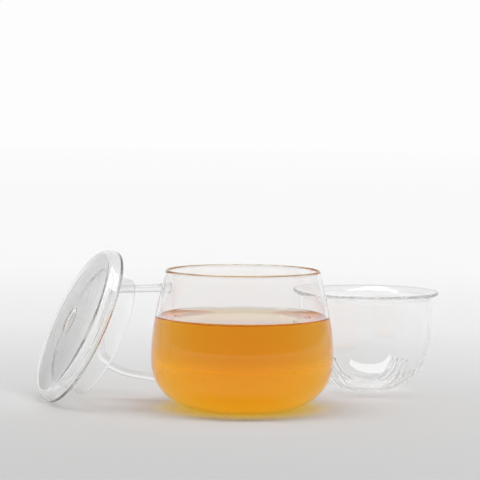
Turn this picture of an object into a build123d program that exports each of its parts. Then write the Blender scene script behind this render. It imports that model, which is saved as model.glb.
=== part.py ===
"""Lidded tea mug with a glass infuser: blown borosilicate glass, four separate pieces.

Frame: millimetres. The origin is the centre of the mug's foot on the table, +Z is up, and the
handle points along -X. The infuser stands on the table beside the mug, and the lid leans on the
handle with its top facing away from the bowl.
"""

import os
from math import acos, atan2, cos, hypot, radians, sin, tan

from build123d import *

# ---------------------------------------------------------------- sizes of the mug bowl
mug_height = 78.5
mug_rim_radius = 43.7  # outside of the mouth
mug_rim_lean = 12.0  # degrees that the wall leans inward at the rim
mug_belly_radius = 51.8  # outside, at the widest
mug_belly_height = 29.0
mug_foot_radius = 24.0  # flat underside
mug_wall = 1.8
mug_base = 3.6

# ---------------------------------------------------------------- sizes of the handle
rod_diameter = 4.4
weld_diameter = 8.4  # where the rod is melted onto the bowl
weld_length = 8.5  # beyond the rim's radius
upper_arm_height = 66.5  # at the bowl
upper_arm_drop = 2.2  # from the bowl to the upper corner
upper_corner_reach = 79.2  # from the mug's axis
outer_run_reach = 89.0
outer_run_height = 39.8
lower_corner_reach = 87.2
lower_corner_height = 21.7
lower_arm_reach = 72.9  # where the lower arm levels out
lower_arm_height = 15.9
lower_arm_drop = 3.1  # from there to the bowl
upper_corner_share = 0.17  # of the shorter run beside the corner, taken by its bend
outer_run_share = 0.565
lower_corner_share = 0.33
lower_arm_share = 0.345

# ---------------------------------------------------------------- sizes of the infuser cup
infuser_wall = 1.6
infuser_height = 60.7
infuser_gap = 2.9  # around the cup's wall when it hangs in the mug's mouth
infuser_lip_overhang = 0.2  # lip beyond the mug's rim, which carries it
infuser_lip_rise = 3.6  # from the straight wall to the lip
infuser_lip_bend = 3.0
infuser_heel_radius = 22.5  # where the floor starts to rise
infuser_heel_bend = 24.0
infuser_side_height = 21.0  # where the side becomes upright
infuser_side_bend = 34.0
infuser_x = 44.7
infuser_y = 99.9

slit_groups = 4
slits_per_group = 4
slit_pitch = 4.2
slit_width = 0.9
slit_start = 15.0  # radius where the saw enters the floor
slit_rise = 17.0  # height where it leaves the side
saw_radius = 40.0
first_slit_angle = 65.0

# ---------------------------------------------------------------- sizes of the lid
lid_wall = 1.8
lid_rise = 8.6  # from the flange's underside to the top
lid_shoulder_radius = 44.6
lid_shoulder_bend = 5.0
lid_dimple_radius = 7.0
lid_dimple_depth = 1.0
lid_dimple_bend = 2.5
lid_flange_overhang = 3.3  # beyond the infuser's lip
lid_flange_bend = 1.4
lid_skirt_gap = 0.9  # around the skirt when the lid is on the infuser
lid_skirt_length = 15.0  # below the flange's underside
lid_skirt_bend = 1.6
lid_yaw = 37.7  # degrees about the upright, from the handle to the lid's axis
lid_rest_reach = 67.5  # where the skirt rests on the upper arm, from the mug's axis
lid_rest_angle = 11.0  # degrees around the skirt, from its highest point to there
lid_rest_gap = 0.25

# ---------------------------------------------------------------- sizes that the pieces share
mug_mouth_radius = mug_rim_radius - mug_wall
infuser_radius = mug_mouth_radius - infuser_gap
infuser_lip_radius = mug_rim_radius + infuser_lip_overhang
lid_skirt_radius = infuser_radius - infuser_wall - lid_skirt_gap
lid_flange_radius = infuser_lip_radius + lid_flange_overhang

# ---------------------------------------------------------------- mug bowl
rim_direction = Vector(-sin(radians(mug_rim_lean)), cos(radians(mug_rim_lean)))

with BuildPart() as bowl_form:
    with BuildSketch(Plane.XZ):
        with BuildLine():
            belly = (mug_belly_radius, mug_belly_height)
            Line((0, 0), (mug_foot_radius, 0))
            EllipticalCenterArc(
                (mug_foot_radius, mug_belly_height),
                mug_belly_radius - mug_foot_radius,
                mug_belly_height,
                start_angle=270,
                arc_size=90,
            )
            Spline(belly, (mug_rim_radius, mug_height), tangents=[(0, 1), rim_direction])
            Polyline((mug_rim_radius, mug_height), (0, mug_height), (0, 0))
        make_face()
    revolve(axis=Axis.Z)

with BuildPart() as mug_bowl:
    add(bowl_form.part)
    with BuildSketch(Plane.XZ):
        with BuildLine():
            inner_belly = mug_belly_radius - mug_wall
            Line((0, mug_base), (mug_foot_radius, mug_base))
            EllipticalCenterArc(
                (mug_foot_radius, mug_belly_height),
                inner_belly - mug_foot_radius,
                mug_belly_height - mug_base,
                start_angle=270,
                arc_size=90,
            )
            Spline(
                (inner_belly, mug_belly_height),
                (mug_mouth_radius, mug_height),
                tangents=[(0, 1), rim_direction],
            )
            Polyline((mug_mouth_radius, mug_height), (0, mug_height), (0, mug_base))
        make_face()
    revolve(axis=Axis.Z, mode=Mode.SUBTRACT)
    rim_edges = mug_bowl.edges().filter_by(GeomType.CIRCLE).group_by(Axis.Z)[-1]
    fillet(rim_edges, 0.45 * mug_wall)

# ---------------------------------------------------------------- handle
rod_corners = [
    Vector(-mug_rim_radius, upper_arm_height),
    Vector(-upper_corner_reach, upper_arm_height - upper_arm_drop),
    Vector(-outer_run_reach, outer_run_height),
    Vector(-lower_corner_reach, lower_corner_height),
    Vector(-lower_arm_reach, lower_arm_height),
    Vector(-mug_rim_radius, lower_arm_height - lower_arm_drop),
]
rod_shares = [upper_corner_share, outer_run_share, lower_corner_share, lower_arm_share]
rod_bends = []
for before, corner, after, share in zip(rod_corners, rod_corners[1:], rod_corners[2:], rod_shares):
    half_turn = radians((corner - before).get_angle(after - corner)) / 2
    shorter_run = min((corner - before).length, (after - corner).length)
    rod_bends.append(share * shorter_run / tan(half_turn))

with BuildPart() as mug_handle:
    with BuildLine(Plane.XZ):
        rod = FilletPolyline(*[(corner.X, corner.Y) for corner in rod_corners], radius=rod_bends)
    with BuildSketch(Plane(rod @ 0, z_dir=rod % 0)):
        Circle(rod_diameter / 2)
    sweep(path=rod)
    for end, inward in ((rod @ 0, rod % 0), (rod @ 1, -(rod % 1))):
        with BuildSketch(Plane(end, z_dir=inward)):
            Circle(weld_diameter / 2)
        with BuildSketch(Plane(end + inward * weld_length, z_dir=inward)):
            Circle(rod_diameter / 2)
        loft()
    add(bowl_form.part, mode=Mode.SUBTRACT)

# ---------------------------------------------------------------- infuser cup
infuser_foot = Vector(infuser_x, infuser_y, 0)
infuser_middle = infuser_radius - infuser_wall / 2
infuser_lip = (infuser_lip_radius - infuser_wall / 2, infuser_height - infuser_wall / 2)

# The saw's disc passes through the slit's two ends.
slit_end = infuser_radius - slit_start
slit_chord = hypot(slit_end, slit_rise)
saw_back = (saw_radius**2 - (slit_chord / 2) ** 2) ** 0.5 / slit_chord
saw_reach = slit_start + slit_end / 2 + saw_back * slit_rise
saw_height = slit_rise / 2 - saw_back * slit_end

with BuildPart() as infuser_cup:
    with BuildSketch(Plane(infuser_foot, x_dir=(1, 0, 0), z_dir=(0, -1, 0))):
        with BuildLine():
            FilletPolyline(
                (0, infuser_wall / 2),
                (infuser_heel_radius, infuser_wall / 2),
                (infuser_middle, infuser_side_height),
                (infuser_middle, infuser_lip[1] - infuser_lip_rise),
                infuser_lip,
                radius=[infuser_heel_bend, infuser_side_bend, infuser_lip_bend],
            )
            offset(amount=infuser_wall / 2, side=Side.BOTH)
        make_face()
        split(bisect_by=Plane.YZ, keep=Keep.TOP)
    revolve(axis=Axis(infuser_foot, (0, 0, 1)))
    blades = []
    for slit in range(slits_per_group):
        blades.append((0, (slit - (slits_per_group - 1) / 2) * slit_pitch, saw_height))
    with Locations(infuser_foot):
        with PolarLocations(saw_reach, slit_groups, start_angle=first_slit_angle):
            with Locations(*blades):
                Cylinder(saw_radius, slit_width, rotation=(90, 0, 0), mode=Mode.SUBTRACT)

# ---------------------------------------------------------------- lid
# The section's points lie on the middle of the glass: radius, then height above the flange.
skirt_middle = lid_skirt_radius - lid_wall / 2
skirt_end = lid_skirt_length - lid_wall / 2
fold_angle = atan2(lid_rise, lid_flange_radius - lid_shoulder_radius)
fold_radius = lid_flange_radius - lid_flange_bend / tan(fold_angle / 2)
fold_outside = lid_flange_bend + lid_wall / 2

# The flange's fold stands on the table, and the skirt's end rests on the handle's upper arm.
rest_angle = radians(lid_rest_angle)
arm_slope = upper_arm_drop / (upper_corner_reach - mug_rim_radius)
arm_middle = upper_arm_height - arm_slope * (lid_rest_reach - mug_rim_radius)
rest_height = arm_middle + rod_diameter / 2 + lid_rest_gap
lean_across = fold_radius + skirt_middle * cos(rest_angle)
lean_along = lid_flange_bend + skirt_end
lean_rise = rest_height + lid_wall / 2 - fold_outside
lid_tilt = acos(lean_rise / hypot(lean_across, lean_along)) - atan2(lean_along, lean_across)

handle_to_lid = Vector(-cos(radians(lid_yaw)), -sin(radians(lid_yaw)))
lid_axis = handle_to_lid * cos(lid_tilt) + Vector(0, 0, sin(lid_tilt))
lid_up = handle_to_lid * -sin(lid_tilt) + Vector(0, 0, cos(lid_tilt))
rest_direction = lid_up * cos(rest_angle) + lid_up.cross(lid_axis) * sin(rest_angle)
rest_point = Vector(-lid_rest_reach, 0, rest_height + lid_wall / 2)
lid_centre = rest_point + lid_axis * skirt_end - rest_direction * skirt_middle

with BuildPart() as lid:
    with BuildSketch(Plane(lid_centre, x_dir=lid_up, z_dir=lid_up.cross(lid_axis))):
        with BuildLine():
            FilletPolyline(
                (0, lid_rise - lid_dimple_depth),
                (lid_dimple_radius - lid_dimple_depth, lid_rise - lid_dimple_depth),
                (lid_dimple_radius + lid_dimple_depth, lid_rise),
                (lid_shoulder_radius, lid_rise),
                (lid_flange_radius, 0),
                (skirt_middle, 0),
                (skirt_middle, -skirt_end),
                radius=[
                    lid_dimple_bend,
                    lid_dimple_bend,
                    lid_shoulder_bend,
                    lid_flange_bend,
                    lid_skirt_bend,
                ],
            )
            offset(amount=lid_wall / 2, side=Side.BOTH)
        make_face()
        split(bisect_by=Plane.YZ, keep=Keep.TOP)
    revolve(axis=Axis(lid_centre, lid_axis))

# ---------------------------------------------------------------- export
os.makedirs("parts", exist_ok=True)

mug_bowl.part.label = "mug_bowl"
export_step(mug_bowl.part, "parts/mug_bowl.step")

mug_handle.part.label = "mug_handle"
export_step(mug_handle.part, "parts/mug_handle.step")

infuser_cup.part.label = "infuser_cup"
export_step(infuser_cup.part, "parts/infuser_cup.step")

lid.part.label = "lid"
export_step(lid.part, "parts/lid.step")
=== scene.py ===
import math

import bmesh
import bpy
from mathutils import Matrix, Vector


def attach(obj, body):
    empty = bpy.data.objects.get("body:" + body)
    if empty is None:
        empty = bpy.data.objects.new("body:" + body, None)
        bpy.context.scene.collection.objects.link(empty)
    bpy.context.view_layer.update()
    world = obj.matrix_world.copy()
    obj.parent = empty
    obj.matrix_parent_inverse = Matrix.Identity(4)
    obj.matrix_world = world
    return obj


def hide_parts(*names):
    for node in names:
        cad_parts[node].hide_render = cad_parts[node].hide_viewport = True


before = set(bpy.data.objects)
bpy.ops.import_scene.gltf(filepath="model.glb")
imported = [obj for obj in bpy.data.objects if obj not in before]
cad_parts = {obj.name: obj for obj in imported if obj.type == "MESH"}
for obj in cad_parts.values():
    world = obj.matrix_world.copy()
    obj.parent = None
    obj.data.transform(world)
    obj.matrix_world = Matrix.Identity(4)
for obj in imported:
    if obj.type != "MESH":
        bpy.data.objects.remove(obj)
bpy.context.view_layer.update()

scene = bpy.context.scene

# ---------------------------------------------------------------- camera
# A telephoto lens a metre away, a hand's breadth above the rim, looking a little down.
camera = bpy.data.objects.new("camera", bpy.data.cameras.new("camera"))
scene.collection.objects.link(camera)
scene.camera = camera
camera.data.lens = 135
camera_place = (0.3458, -0.9555, 0.1576)
camera_turn, camera_dip, camera_roll = (math.radians(degrees) for degrees in (20, 3.507, 0.556))
camera.matrix_world = (
    Matrix.Translation(camera_place)
    @ Matrix.Rotation(camera_turn, 4, "Z")
    @ Matrix.Rotation(math.pi / 2 - camera_dip, 4, "X")
    @ Matrix.Rotation(camera_roll, 4, "Z")
)
scene.view_settings.view_transform = "Standard"
# Mug, tea, lid and infuser stand behind one another, and light that is caught inside a wall or a
# rim runs along it for a hundred turns before it leaves.
light_turns = 128
scene.cycles.max_bounces = light_turns
scene.cycles.transmission_bounces = scene.cycles.glossy_bounces = light_turns
scene.cycles.blur_glossy = 0

# ---------------------------------------------------------------- room
# A studio room with plain, even light. The camera sees it white. Glass sees the white wall
# behind the object, the grey of the sides and the dark end at the back left, and these draw the
# edges of clear glass.


def colour(code):
    """An sRGB hex value as linear red, green, blue and alpha."""
    parts = [int(code[i : i + 2], 16) / 255 for i in (1, 3, 5)]
    return [c / 12.92 if c <= 0.04045 else ((c + 0.055) / 1.055) ** 2.4 for c in parts] + [1.0]


def add_node(tree, kind, inputs=None, **settings):
    """Adds a node with its settings; an input is a value, or an output that is linked to it."""
    node = tree.nodes.new(kind)
    for name, value in settings.items():
        setattr(node, name, value)
    for name, value in (inputs or {}).items():
        if isinstance(value, bpy.types.NodeSocket):
            tree.links.new(value, node.inputs[name])
        else:
            node.inputs[name].default_value = value
    return node


def new_tree(owner):
    """The empty node tree of a material or world."""
    owner.use_nodes = True
    owner.node_tree.nodes.clear()
    return owner.node_tree


room = bpy.data.worlds.new("white studio room")
scene.world = room
tree = new_tree(room)
sees = add_node(tree, "ShaderNodeLightPath").outputs

# What is seen through glass or mirrored in it, unless matt paper scattered it on the way.
glass_ray = add_node(
    tree,
    "ShaderNodeMath",
    {0: sees["Is Glossy Ray"], 1: sees["Is Transmission Ray"]},
    operation="MAXIMUM",
)
straight = add_node(
    tree, "ShaderNodeMath", {0: sees["Diffuse Depth"], 1: 0.5}, operation="LESS_THAN"
)
glass_sees = add_node(
    tree,
    "ShaderNodeMath",
    {0: glass_ray.outputs[0], 1: straight.outputs[0]},
    operation="MULTIPLY",
)

# The walls' tones, from the back of the room, 0, to the front, 1, are what glass mirrors.
wall_tones = [(0.05, "#F0F0F0"), (0.22, "#C0C0C0"), (0.5, "#C8C8C8"), (0.75, "#A0A0A0")]
direction = add_node(tree, "ShaderNodeTexCoord").outputs["Generated"]
to_camera = (math.sin(camera_turn), -math.cos(camera_turn), 0)
facing = add_node(
    tree, "ShaderNodeVectorMath", {0: direction, 1: to_camera}, operation="DOT_PRODUCT"
)
from_back_to_front = add_node(
    tree, "ShaderNodeMapRange", {"Value": facing.outputs["Value"], "From Min": -1.0}
)
walls = add_node(tree, "ShaderNodeValToRGB", {"Fac": from_back_to_front.outputs[0]})
stops = walls.color_ramp.elements
for stop, (share, code) in zip(stops, (wall_tones[0], wall_tones[-1])):
    stop.position, stop.color = share, colour(code)
for share, code in wall_tones[1:-1]:
    stops.new(share).color = colour(code)

# The dark end at the back left: how far from the back it reaches, and where, leftward, it begins
# and is full.
dark_end, dark_from, dark_full = -0.3, 0.32, 0.54
to_left = (-math.cos(camera_turn), -math.sin(camera_turn), 0)
leftward = add_node(
    tree, "ShaderNodeVectorMath", {0: direction, 1: to_left}, operation="DOT_PRODUCT"
)
behind = add_node(
    tree, "ShaderNodeMath", {0: facing.outputs["Value"], 1: dark_end}, operation="LESS_THAN"
)
unlit_left = add_node(
    tree,
    "ShaderNodeMapRange",
    {
        "Value": leftward.outputs["Value"],
        "From Min": dark_from,
        "From Max": dark_full,
        "To Max": behind.outputs[0],
    },
    interpolation_type="SMOOTHSTEP",
)
mirrored = add_node(
    tree,
    "ShaderNodeMix",
    {"Factor": unlit_left.outputs[0], 6: walls.outputs[0], 7: colour("#505050")},
    data_type="RGBA",
)

# What is seen through glass is white near the horizon and grey towards the ceiling.
height = add_node(tree, "ShaderNodeSeparateXYZ", {0: direction})
ceiling = add_node(tree, "ShaderNodeValToRGB", {"Fac": height.outputs["Z"]})
stops = ceiling.color_ramp.elements
stops[0].position, stops[0].color = 0.3, colour("#F0F0F0")
stops[1].position, stops[1].color = 0.55, colour("#C8C8C8")
around_colour = add_node(
    tree,
    "ShaderNodeMix",
    {"Factor": sees["Is Transmission Ray"], 6: mirrored.outputs[2], 7: ceiling.outputs[0]},
    data_type="RGBA",
)

# The light itself is soft from all round, with a long strip above, from left to right, that
# draws the edges of the shadows. The strip fades between an outer and an inner edge.
even_light, strip_light = 0.57, 5.0
strip_depth_edges, strip_length_edges = (0.18, 0.06), (0.75, 0.45)
strip = []
for part, (outer, inner) in ((facing, strip_depth_edges), (leftward, strip_length_edges)):
    aside = add_node(tree, "ShaderNodeMath", {0: part.outputs["Value"]}, operation="ABSOLUTE")
    fade = add_node(
        tree,
        "ShaderNodeMapRange",
        {"Value": aside.outputs[0], "From Min": outer, "From Max": inner},
        interpolation_type="SMOOTHSTEP",
    )
    strip.append(fade.outputs[0])
overhead = add_node(tree, "ShaderNodeMath", {0: strip[0], 1: strip[1]}, operation="MULTIPLY")
brightness = add_node(
    tree,
    "ShaderNodeMath",
    {0: overhead.outputs[0], 1: strip_light, 2: even_light},
    operation="MULTIPLY_ADD",
)
light = add_node(
    tree,
    "ShaderNodeBackground",
    {"Color": colour("#FFFFFF"), "Strength": brightness.outputs[0]},
)
white = add_node(tree, "ShaderNodeBackground", {"Color": colour("#FDFDFD"), "Strength": 1.0})
around = add_node(
    tree, "ShaderNodeBackground", {"Color": around_colour.outputs[2], "Strength": 1.0}
)
lit_or_white = add_node(
    tree,
    "ShaderNodeMixShader",
    {0: sees["Is Camera Ray"], 1: light.outputs[0], 2: white.outputs[0]},
)
room_seen = add_node(
    tree,
    "ShaderNodeMixShader",
    {0: glass_sees.outputs[0], 1: lit_or_white.outputs[0], 2: around.outputs[0]},
)
add_node(tree, "ShaderNodeOutputWorld", {"Surface": room_seen.outputs[0]})

# A wide soft box high above shows in the glass only, as a bright smile in the bottom of the
# infuser. Its ends bend forward and narrow.
box_place, box_tilt = (-0.28, 0.019, 1.429), math.radians(15)
box_width, box_depth = 2.0, 0.95
bend_share, narrowing = -0.6, 0.6
box_glow = 6.0
soft_box_mesh = bmesh.new()
bmesh.ops.create_grid(soft_box_mesh, x_segments=24, y_segments=1, size=0.5)
for vert in soft_box_mesh.verts:
    out = (2 * vert.co.x) ** 2
    vert.co.y = vert.co.y * (1 - narrowing * out) + bend_share * out
hung = (
    Matrix.Translation(box_place)
    @ Matrix.Rotation(camera_turn, 4, "Z")
    @ Matrix.Rotation(box_tilt, 4, "X")
    @ Matrix.Diagonal((box_width, box_depth, 1, 1))
)
bmesh.ops.transform(soft_box_mesh, verts=soft_box_mesh.verts[:], matrix=hung)
soft_box = bpy.data.objects.new("soft_box", bpy.data.meshes.new("soft_box"))
soft_box_mesh.to_mesh(soft_box.data)
soft_box_mesh.free()
scene.collection.objects.link(soft_box)
glow = bpy.data.materials.new("lit_white_diffuser_cloth")
soft_box.data.materials.append(glow)
tree = new_tree(glow)
shine = add_node(
    tree, "ShaderNodeEmission", {"Color": colour("#FFFFFF"), "Strength": box_glow}
)
add_node(tree, "ShaderNodeOutputMaterial", {"Surface": shine.outputs[0]})
soft_box.visible_camera = soft_box.visible_diffuse = soft_box.visible_shadow = False
soft_box.visible_transmission = False

# ---------------------------------------------------------------- floor
# A matt white sheet of paper that runs back to the horizon. Shade is painted into its colour: it
# is darkest in front of the mug, where less light falls, and far off it fades into the white of
# the room.
floor_radius = 30
floor_mesh = bmesh.new()
bmesh.ops.create_circle(floor_mesh, cap_ends=True, radius=floor_radius, segments=96)
floor = bpy.data.objects.new("floor", bpy.data.meshes.new("floor"))
floor_mesh.to_mesh(floor.data)
floor_mesh.free()
scene.collection.objects.link(floor)

# Uncoated paper mirrors nothing and scatters all light, so the eye sees only soft shadows on it.
# Its tones are painted shade, darker near the mug, given by the distance in metres from the
# darkest place.
darkest_place = (0.064, -0.349, 0)
painted_shade_tones = [
    (0.15, "#CBCBCB"), (0.44, "#D5D5D5"), (0.8, "#EAEAEA"), (1.4, "#F5F5F5"), (4.0, "#FBFBFB"),
]
paper = bpy.data.materials.new("matt_white_paper_painted_shade")
floor.data.materials.append(paper)
tree = new_tree(paper)
place = add_node(tree, "ShaderNodeTexCoord").outputs["Object"]
from_dark = add_node(
    tree,
    "ShaderNodeVectorMath",
    {0: place, 1: darkest_place},
    operation="DISTANCE",
).outputs["Value"]
tones_end = painted_shade_tones[-1][0]
along = add_node(tree, "ShaderNodeMath", {0: from_dark, 1: tones_end}, operation="DIVIDE")
# This ramp paints the shade into the paper's base colour.
tone = add_node(tree, "ShaderNodeValToRGB", {"Fac": along.outputs[0]})
stops = tone.color_ramp.elements
for stop, (metres, code) in zip(stops, (painted_shade_tones[0], painted_shade_tones[-1])):
    stop.position, stop.color = metres / tones_end, colour(code)
for metres, code in painted_shade_tones[1:-1]:
    stops.new(metres / tones_end).color = colour(code)
matt = add_node(
    tree,
    "ShaderNodeBsdfPrincipled",
    {"Base Color": tone.outputs[0], "Roughness": 1.0, "Specular IOR Level": 0.0},
)

# Far off, the camera sees the paper turn into the room's white, and glass sees the wall's white.
fade_from, fade_to, haze_to = 0.8, 3.0, 16.0
far_off = add_node(
    tree, "ShaderNodeMapRange", {"Value": from_dark, "From Min": fade_to, "From Max": haze_to}
)
hazy = add_node(
    tree,
    "ShaderNodeMix",
    {"Factor": far_off.outputs[0], 6: colour("#F9F9F9"), 7: colour("#FDFDFD")},
    data_type="RGBA",
)
sees = add_node(tree, "ShaderNodeLightPath").outputs
horizon = add_node(
    tree,
    "ShaderNodeMix",
    {"Factor": sees["Is Camera Ray"], 6: colour("#F0F0F0"), 7: hazy.outputs[2]},
    data_type="RGBA",
)
far_white = add_node(tree, "ShaderNodeEmission", {"Color": horizon.outputs[2], "Strength": 1.0})
glass_ray = add_node(
    tree,
    "ShaderNodeMath",
    {0: sees["Is Glossy Ray"], 1: sees["Is Transmission Ray"]},
    operation="MAXIMUM",
)
seen = add_node(
    tree,
    "ShaderNodeMath",
    {0: glass_ray.outputs[0], 1: sees["Is Camera Ray"]},
    operation="MAXIMUM",
)
far = add_node(
    tree,
    "ShaderNodeMapRange",
    {"Value": from_dark, "From Min": fade_from, "From Max": fade_to},
    interpolation_type="SMOOTHSTEP",
)
far_seen = add_node(
    tree, "ShaderNodeMath", {0: seen.outputs[0], 1: far.outputs[0]}, operation="MULTIPLY"
)
paper_or_white = add_node(
    tree,
    "ShaderNodeMixShader",
    {0: far_seen.outputs[0], 1: matt.outputs[0], 2: far_white.outputs[0]},
)
add_node(tree, "ShaderNodeOutputMaterial", {"Surface": paper_or_white.outputs[0]})

# ---------------------------------------------------------------- mug bowl
# The mug's body: blown borosilicate glass, with a thick foot, pressed a little hollow, and a
# fire-polished rim that leans inward. Points in mm, (radius, height), shape its section as a
# smooth curve, and one of them lies at the edge of the tea.
MM = 0.001
glass_ior = 1.47
lathe_steps = 96
seam_mm = 0.005
tea_ior = 1.333
tea_edge = 52.3
bowl_outside = [
    (0, 0.4), (8, 0.4), (16, 0.2), (24.1, 0), (31.5, 0.5), (38.4, 3.5), (44.15, 8.16),
    (49.01, 13.95), (51.41, 21.23), (51.94, 28.94), (51.61, 37.02), (50.8, 45), (49.47, 53.03),
    (47.79, 60.88), (45.75, 69.45), (44.37, 75.32),
]
bowl_rim = [(44.06, 77.5), (43.5, 78.5), (42.85, 78.5), (42.4, 77.5)]
bowl_inside_dry = [(42.93, 75.32), (44.13, 69.45), (46.1, 60.88), (47.74, tea_edge)]
bowl_inside_wet = [
    (49.01, 44.98), (49.78, 37.05), (50.2, 28.84), (49.55, 22.14), (47.14, 15.94), (42.68, 10.69),
    (37.15, 6.71),
]
bowl_inside_bottom = [(30.72, 4.16), (24.34, 3.45), (15.91, 3.64), (8, 3.6), (0, 3.6)]


def section(points, bends=()):
    """A row of edges through (radius, height) points in mm, with bends of the given radii."""
    bm = bmesh.new()
    row = [bm.verts.new((r * MM, 0, z * MM)) for r, z in points]
    for start, end in zip(row, row[1:]):
        bm.edges.new((start, end))
    for corner, bend in zip(row[1:-1], bends):
        sides = [edge.other_vert(corner).co - corner.co for edge in corner.link_edges]
        half_turn = (math.pi - sides[0].angle(sides[1])) / 2
        bmesh.ops.bevel(
            bm,
            geom=[corner],
            offset=bend * MM * math.tan(half_turn),
            offset_type="OFFSET",
            segments=5,
            profile=0.5,
            affect="VERTICES",
            material=-1,
        )
    return bm


def lathe(bm):
    """Spins a row of edges once round Z and closes the seam and the poles."""
    bmesh.ops.spin(
        bm,
        geom=bm.verts[:] + bm.edges[:],
        cent=(0, 0, 0),
        axis=(0, 0, 1),
        angle=math.tau,
        steps=lathe_steps,
        use_merge=True,
    )
    bmesh.ops.remove_doubles(bm, verts=bm.verts[:], dist=seam_mm * MM)
    bmesh.ops.recalc_face_normals(bm, faces=bm.faces[:])
    return bm


def piece(name, bm, material, body, levels=0):
    """A smooth piece of the object, made from a bmesh, riding on a body."""
    for face in bm.faces:
        face.smooth = True
    mesh = bpy.data.meshes.new(name)
    bm.to_mesh(mesh)
    bm.free()
    made = bpy.data.objects.new(name, mesh)
    scene.collection.objects.link(made)
    mesh.materials.append(material)
    if levels:
        smooth = made.modifiers.new("smooth", "SUBSURF")
        smooth.levels = smooth.render_levels = levels
    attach(made, body)
    return made


def clear_glass(name, ripple_mm, ripple_height_mm, grey, wet_ior=None, turned=None):
    """Clear borosilicate glass, polished, with the faint unevenness of hot working.

    Its own grey, per metre, shows only where the eye looks along the wall. Where the piece's
    attribute "wet" is 1, a liquid wets it, and it bends light by wet_ior. A piece that was turned
    in the flame has its ripple drawn out into rings: turned is a point and an axis in metres, and
    the rings' spacing in mm.
    """
    material = bpy.data.materials.new(name)
    tree = new_tree(material)
    place = add_node(tree, "ShaderNodeTexCoord").outputs["Object"]
    ripple = add_node(
        tree,
        "ShaderNodeTexNoise",
        {"Vector": place, "Scale": 1 / (ripple_mm * MM), "Detail": 1.0},
        noise_dimensions="4D",
    )
    if turned:
        centre, axis, ring_mm = turned
        out = add_node(tree, "ShaderNodeVectorMath", {0: place, 1: centre}, operation="SUBTRACT")
        aside = add_node(
            tree, "ShaderNodeVectorMath", {0: out.outputs[0], 1: axis}, operation="CROSS_PRODUCT"
        )
        radius = add_node(
            tree, "ShaderNodeVectorMath", {0: aside.outputs[0]}, operation="LENGTH"
        )
        rings = add_node(
            tree,
            "ShaderNodeMath",
            {0: radius.outputs["Value"], 1: ripple_mm / ring_mm},
            operation="MULTIPLY",
        )
        tree.links.new(rings.outputs[0], ripple.inputs["W"])
    uneven = add_node(
        tree,
        "ShaderNodeBump",
        {"Strength": 1.0, "Distance": ripple_height_mm * MM, "Height": ripple.outputs[0]},
    )
    polished = {
        "Base Color": colour("#FFFFFF"),
        "Roughness": 0.0,
        "Transmission Weight": 1.0,
        "Normal": uneven.outputs[0],
    }
    surface = add_node(tree, "ShaderNodeBsdfPrincipled", {**polished, "IOR": glass_ior})
    if wet_ior:
        wetted = add_node(tree, "ShaderNodeBsdfPrincipled", {**polished, "IOR": wet_ior})
        wet = add_node(tree, "ShaderNodeAttribute", attribute_name="wet")
        surface = add_node(
            tree,
            "ShaderNodeMixShader",
            {0: wet.outputs["Fac"], 1: surface.outputs[0], 2: wetted.outputs[0]},
        )
    thick = add_node(
        tree, "ShaderNodeVolumeAbsorption", {"Color": colour("#596C69"), "Density": grey}
    )
    add_node(
        tree,
        "ShaderNodeOutputMaterial",
        {"Surface": surface.outputs[0], "Volume": thick.outputs[0]},
    )
    return material


# Blown glass is clear and smooth, and a broad faint ripple shows that it was worked by hand.
# Where the tea wets the wall, the glass bends light against tea, not air.
blown_glass = clear_glass(
    "blown_borosilicate_glass",
    ripple_mm=22,
    ripple_height_mm=0.02,
    grey=1.0,
    wet_ior=glass_ior / tea_ior,
)
bowl_mesh = lathe(
    section(bowl_outside + bowl_rim + bowl_inside_dry + bowl_inside_wet + bowl_inside_bottom)
)

# The faces that look at the bowl's heart are its inside, and the tea wets the lower ones.
bowl_heart = Vector((0, 0, 37)) * MM
wet = bowl_mesh.faces.layers.float.new("wet")
for face in bowl_mesh.faces:
    middle = face.calc_center_median()
    inner = face.normal.dot(bowl_heart - middle) > 0
    face[wet] = float(inner and middle.z < tea_edge * MM)
bowl = piece("mug_body", bowl_mesh, blown_glass, "mug", 2)
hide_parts("mug_bowl")

# ---------------------------------------------------------------- handle
# A drawn glass rod, bent hot into an open loop and melted onto the bowl at both ends. The melt
# leaves a small flare where the rod runs into the wall.
rod_radius = 2.2
rod_sides = 24
rod_corners = [
    (-43.7, 66.5), (-79.2, 64.3), (-89, 39.8), (-87.2, 21.7), (-72.9, 15.9), (-43.7, 12.8),
]
rod_bends = [7.1, 42, 8.4, 37.8]
bend_steps = 8
straight_steps = 3
corners = [Vector((x, 0, z)) * MM for x, z in rod_corners]
handle_mesh = bmesh.new()
run = (corners[1] - corners[0]).normalized()
# The rings of the melt: distance from the rod's first point, and radius.
start_rings = [(2.1, 3.6), (3.4, 3.5), (4.8, 3.2), (6.0, 2.7), (7.2, 2.3), (8.6, rod_radius)]
at, first_radius = start_rings[0]
facing_along = run.to_track_quat("Z", "Y").to_matrix().to_4x4()
bmesh.ops.create_circle(
    handle_mesh,
    cap_ends=True,
    radius=first_radius * MM,
    segments=rod_sides,
    matrix=Matrix.Translation(corners[0] + run * at * MM) @ facing_along,
)
ring = handle_mesh.edges[:]


def draw_on(ring, step, ratio=1.0):
    """Extrudes the rod's last ring by a step and scales it."""
    out = bmesh.ops.extrude_edge_only(handle_mesh, edges=ring)["geom"]
    verts = [v for v in out if isinstance(v, bmesh.types.BMVert)]
    bmesh.ops.translate(handle_mesh, verts=verts, vec=step)
    middle = sum((v.co for v in verts), Vector()) / len(verts)
    bmesh.ops.scale(
        handle_mesh, verts=verts, vec=(ratio,) * 3, space=Matrix.Translation(-middle)
    )
    members = set(verts)
    return [e for e in out if isinstance(e, bmesh.types.BMEdge) and set(e.verts) <= members]


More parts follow.
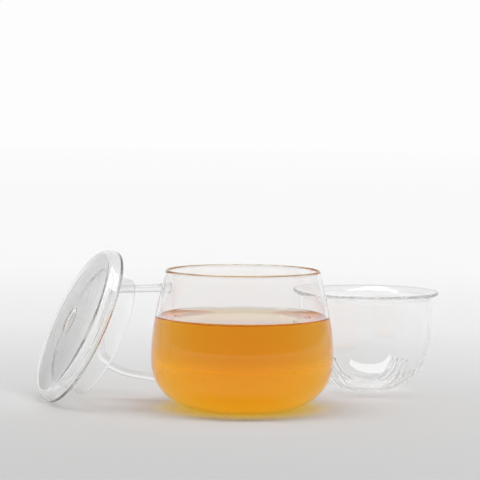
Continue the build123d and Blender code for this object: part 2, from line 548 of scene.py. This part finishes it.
for (_, before), (distance, radius) in zip(start_rings, start_rings[1:]):
    ring = draw_on(ring, run * (distance - at) * MM, radius / before)
    at = distance
used = at * MM
for before, corner, after, bend in zip(corners, corners[1:], corners[2:], rod_bends):
    run, next_run = (corner - before).normalized(), (after - corner).normalized()
    turn = run.angle(next_run)
    taken = bend * MM * math.tan(turn / 2)
    length = (corner - before).length - used - taken
    for _ in range(straight_steps):
        ring = draw_on(ring, run * length / straight_steps)
    turn_axis = run.cross(next_run).normalized()
    centre = corner - run * taken + turn_axis.cross(run) * bend * MM
    out = bmesh.ops.spin(
        handle_mesh, geom=ring, cent=centre, axis=turn_axis, angle=turn, steps=bend_steps
    )["geom_last"]
    ring = [e for e in out if isinstance(e, bmesh.types.BMEdge)]
    used = taken
run = (corners[-1] - corners[-2]).normalized()
end_rings = [(r, d) for d, r in reversed(start_rings)]
lower_melt_start = 1.4
length = (corners[-1] - corners[-2]).length - used - (end_rings[0][1] + lower_melt_start) * MM
ring = draw_on(ring, run * length)
for (before, far), (radius, near) in zip(end_rings, end_rings[1:]):
    ring = draw_on(ring, run * (far - near) * MM, radius / before)
bmesh.ops.contextual_create(handle_mesh, geom=ring)
bmesh.ops.recalc_face_normals(handle_mesh, faces=handle_mesh.faces[:])
# A drawn rod is as smooth as the flame leaves it, and it works as a lens that turns the room
# upside down.
rod_glass = clear_glass(
    "drawn_borosilicate_rod", ripple_mm=14, ripple_height_mm=0.02, grey=3.0
)
handle = piece("rod_handle", handle_mesh, rod_glass, "mug", 1)
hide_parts("mug_handle")

# ---------------------------------------------------------------- tea
# Clear amber tea. It fills the bowl to two thirds and climbs the wall a little at its edge. It
# reaches a hair into the glass, so that no air shows between them.
tea_level = 50.0
tea_edge_radius = 47.7
into_glass = 0.05
tea_wall = [(r + into_glass, z) for r, z in bowl_inside_wet]
tea_floor = [(r, z - into_glass) for r, z in bowl_inside_bottom]
# How the tea climbs: distance in from the wall, and height above the level.
climb = [(9.0, 0.0), (7.0, 0.12), (5.0, 0.3), (3.2, 0.6), (2.0, 0.95), (1.1, 1.35), (0.5, 1.75)]
tea_top = [(r, tea_level) for r in (0, 14, 28)]
tea_top += [(tea_edge_radius - inward, tea_level + up) for inward, up in climb]
tea_top += [(tea_edge_radius + into_glass, tea_edge)]
tea_mesh = lathe(section(tea_top + tea_wall + tea_floor))

# The edge of the tea stays sharp where the bowl's wet part ends, and the faces below its level
# lie against glass.
hair = 0.01
crease = tea_mesh.edges.layers.float.new("crease_edge")
for edge in tea_mesh.edges:
    if all(abs(vert.co.z - tea_edge * MM) < hair * MM for vert in edge.verts):
        edge[crease] = 1
against_glass = tea_mesh.faces.layers.float.new("against_glass")
for face in tea_mesh.faces:
    face[against_glass] = float(face.calc_center_median().z < (tea_level - hair) * MM)

# Brewed tea is clear and takes the blue out of the light within a few mm, so that a thin edge
# looks yellow and the whole width amber. A faint film on its open top mirrors the pale room. The
# wet wall of the bowl already bends the light into the tea, so only its open top bends it here.
amber = bpy.data.materials.new("clear_amber_tea")
tree = new_tree(amber)
liquid = {"Base Color": colour("#FFFFFF"), "Roughness": 0.0, "Transmission Weight": 1.0}
film = {"Coat Weight": 0.6, "Coat IOR": 1.5, "Coat Roughness": 0.0}
open_top = add_node(tree, "ShaderNodeBsdfPrincipled", {**liquid, **film, "IOR": tea_ior})
side = add_node(tree, "ShaderNodeBsdfPrincipled", {**liquid, "IOR": 1.0})
where = add_node(tree, "ShaderNodeAttribute", attribute_name="against_glass")
surface = add_node(
    tree,
    "ShaderNodeMixShader",
    {0: where.outputs["Fac"], 1: open_top.outputs[0], 2: side.outputs[0]},
)
depth = add_node(
    tree, "ShaderNodeVolumeAbsorption", {"Color": colour("#FEF3A5"), "Density": 112.0}
)
add_node(
    tree, "ShaderNodeOutputMaterial", {"Surface": surface.outputs[0], "Volume": depth.outputs[0]}
)
tea = piece("tea", tea_mesh, amber, "mug", 2)

# ---------------------------------------------------------------- infuser cup
# A blown glass cup with a flared lip, which can hang on the mug's rim. Sixteen slits are sawn
# through its heel in four groups, with a thin disc, and their cut walls are left ground. It
# stands a hair above the floor, so that the two don't coincide.
infuser_wall = 1.6
infuser_edge_bend = 0.78
infuser_place = Vector((44.7, 99.9, 0.05)) * MM
infuser_middle = [(0, 0.8), (22.5, 0.8), (38.2, 21), (38.2, 56.3), (43.1, 59.9)]
infuser_bends = [24, 34, 3]
slit_groups, group_slits = 4, 4
slit_width, slit_pitch = 0.9, 4.2
first_slit_angle = 65
saw_radius, saw_reach, saw_height = 40, 48.5, -21.86
saw_sides = 160


def thicken(made, wall_mm, edge_mm):
    """Gives a middle surface its wall and rounds the free edges."""
    wall = made.modifiers.new("wall", "SOLIDIFY")
    wall.thickness = wall_mm * MM
    wall.offset = 0
    wall.use_even_offset = True
    polish = made.modifiers.new("fire polish", "BEVEL")
    polish.width = edge_mm * MM
    polish.segments = 4
    polish.limit_method = "ANGLE"
    polish.angle_limit = math.radians(60)


# Thinner and clearer than the mug, with a finer ripple.
infuser_glass = clear_glass(
    "blown_borosilicate_infuser", ripple_mm=18, ripple_height_mm=0.02, grey=1.5
)
infuser_mesh = lathe(section(infuser_middle, infuser_bends))
bmesh.ops.translate(infuser_mesh, verts=infuser_mesh.verts[:], vec=infuser_place)
infuser = piece("infuser_glass_cup", infuser_mesh, infuser_glass, "infuser", 1)
thicken(infuser, infuser_wall, infuser_edge_bend)

# The saw leaves the slits' walls frosted, so they scatter the light a little and show as pale
# lines.
sawn_glass = bpy.data.materials.new("ground_borosilicate_slit")
tree = new_tree(sawn_glass)
ground = add_node(
    tree,
    "ShaderNodeBsdfPrincipled",
    {
        "Base Color": colour("#FFFFFF"),
        "Roughness": 0.35,
        "IOR": glass_ior,
        "Transmission Weight": 1.0,
    },
)
add_node(tree, "ShaderNodeOutputMaterial", {"Surface": ground.outputs[0]})
saw_mesh = bmesh.new()
for group in range(slit_groups):
    group_angle = first_slit_angle + 360 / slit_groups * group
    for slit in range(group_slits):
        across = (slit - (group_slits - 1) / 2) * slit_pitch
        disc = (
            Matrix.Translation(infuser_place)
            @ Matrix.Rotation(math.radians(group_angle), 4, "Z")
            @ Matrix.Translation(Vector((saw_reach, across, saw_height)) * MM)
            @ Matrix.Rotation(math.pi / 2, 4, "X")
        )
        bmesh.ops.create_cone(
            saw_mesh,
            cap_ends=True,
            segments=saw_sides,
            radius1=saw_radius * MM,
            radius2=saw_radius * MM,
            depth=slit_width * MM,
            matrix=disc,
        )
saw = bpy.data.objects.new("saw", bpy.data.meshes.new("saw"))
saw_mesh.to_mesh(saw.data)
saw_mesh.free()
scene.collection.objects.link(saw)
saw.data.materials.append(sawn_glass)
cut = infuser.modifiers.new("slits", "BOOLEAN")
cut.object = saw
cut.operation = "DIFFERENCE"
cut.solver = "EXACT"
cut.material_mode = "TRANSFER"
# The cut is made for good, so that the saw can go.
whole = infuser.evaluated_get(bpy.context.evaluated_depsgraph_get())
cup_mesh = bpy.data.meshes.new_from_object(whole)
cup_mesh.set_sharp_from_angle(angle=math.radians(40))
infuser.modifiers.clear()
infuser.data = cup_mesh
bpy.data.objects.remove(saw)
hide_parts("infuser_cup")

# ---------------------------------------------------------------- lid
# A blown glass lid: a low crown with a dimple in its middle, a folded flange and a skirt that
# sits in the infuser's mouth. It leans on the handle, with its flange on the table. Its section
# is drawn with the flange's underside at height 0.
lid_wall = 1.8
lid_edge_bend = 0.88
lid_middle = [
    (0, 7.6), (6, 7.6), (8, 8.6), (34, 8.1), (44.9, 7.2), (47.2, 0), (35.6, 0), (35.6, -14.1),
]
lid_bends = [2.5, 2.5, 60, 3, 1.4, 1.6]
lid_axis = Vector((-0.716292, -0.553613, 0.424781))
lid_centre = Vector((-93.4989, -11.509, 42.7281)) * MM
lid_across = Vector((0, 0, 1)).cross(lid_axis).normalized()
lid_turn = Matrix((lid_axis.cross(lid_across), lid_across, lid_axis)).transposed().to_4x4()
leaning = Matrix.Translation(lid_centre) @ lid_turn

# The lid was spun in the flame, which draws its ripple into rings, and its thicker wall is grey
# where the eye looks along it.
lid_ring_mm = 4
lid_glass = clear_glass(
    "blown_borosilicate_lid",
    ripple_mm=45,
    ripple_height_mm=0.05,
    grey=8.0,
    turned=(lid_centre, lid_axis, lid_ring_mm),
)
lid_mesh = lathe(section(lid_middle, lid_bends))
bmesh.ops.transform(lid_mesh, verts=lid_mesh.verts[:], matrix=leaning)
lid = piece("glass_lid", lid_mesh, lid_glass, "lid", 1)
thicken(lid, lid_wall, lid_edge_bend)
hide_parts("lid")
